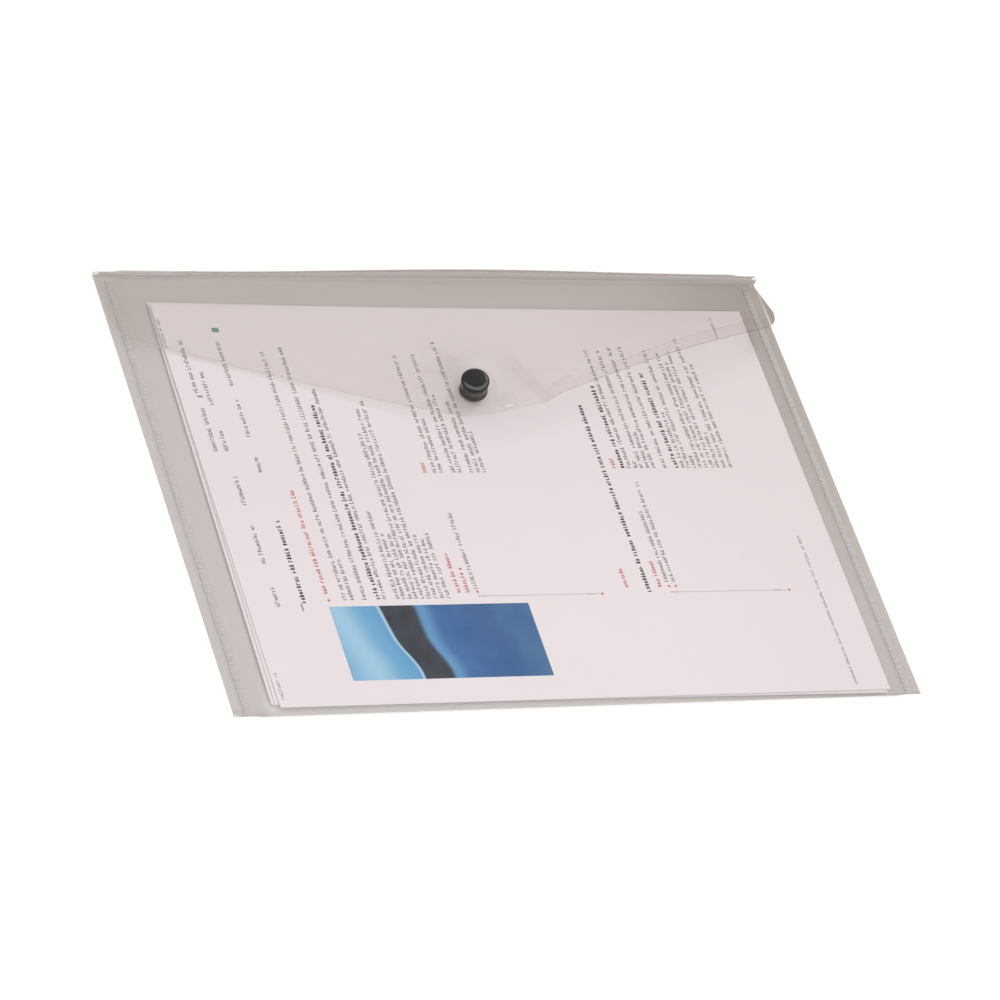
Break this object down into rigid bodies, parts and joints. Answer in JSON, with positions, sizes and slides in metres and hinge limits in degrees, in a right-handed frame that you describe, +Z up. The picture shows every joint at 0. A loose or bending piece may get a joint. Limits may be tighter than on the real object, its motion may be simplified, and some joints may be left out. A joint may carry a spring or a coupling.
{
  "type": "plastic document envelope with press-stud flap",
  "caption": "Landscape see-through plastic document envelope with a snap-closed flap, holding loose printed paper sheets.",
  "frame": {"origin": "on the surface that the envelope lies on, under the middle of its outline", "axes": "+X across the width, +Y from the bottom fold towards the flap's crease, +Z up out of the front panel"},
  "size_m": [0.334, 0.234, 0.0206],
  "materials": {
    "clear_film": "clear, faintly grey polypropylene film, smooth with a light haze",
    "welded_film": "two films pressed together, finely ribbed and a little milky",
    "black_plastic": "moulded black plastic, semi-gloss",
    "white_paper": "white office paper, matt, printed with greyed marks"
  },
  "bodies": {
    "pocket": {"back_panel": "clear_film", "front_panel": "clear_film", "bottom_fold": "clear_film", "left_weld": "welded_film", "right_weld": "welded_film", "flap_crease": "clear_film", "snap_stud": "black_plastic", "snap_backing_cap": "black_plastic"},
    "flap": {"flap_panel": "clear_film", "snap_cap": "black_plastic", "snap_socket": "black_plastic"},
    "sheet_1": {"paper_1": "white_paper"},
    "sheet_2": {"paper_2": "white_paper"},
    "sheet_3": {"paper_3": "white_paper"},
    "sheet_4": {"paper_4": "white_paper"}
  },
  "joints": [
    {"name": "flap_hinge", "type": "hinge", "parent": "pocket", "child": "flap", "pos_m": [0, 0.11405, 0.003], "axis": [-1, 0, 0], "range_deg": [0, 155], "deforming": ["flap_crease"]},
    {"name": "sheet_1_slide", "type": "slide", "parent": "pocket", "child": "sheet_1", "axis": [0, 1, 0], "range_m": [0, 0.015]},
    {"name": "sheet_2_slide", "type": "slide", "parent": "pocket", "child": "sheet_2", "axis": [0, 1, 0], "range_m": [0, 0.015]},
    {"name": "sheet_3_slide", "type": "slide", "parent": "pocket", "child": "sheet_3", "axis": [0, 1, 0], "range_m": [0, 0.015]},
    {"name": "sheet_4_slide", "type": "slide", "parent": "pocket", "child": "sheet_4", "axis": [0, 1, 0], "range_m": [0, 0.015]}
  ]
}
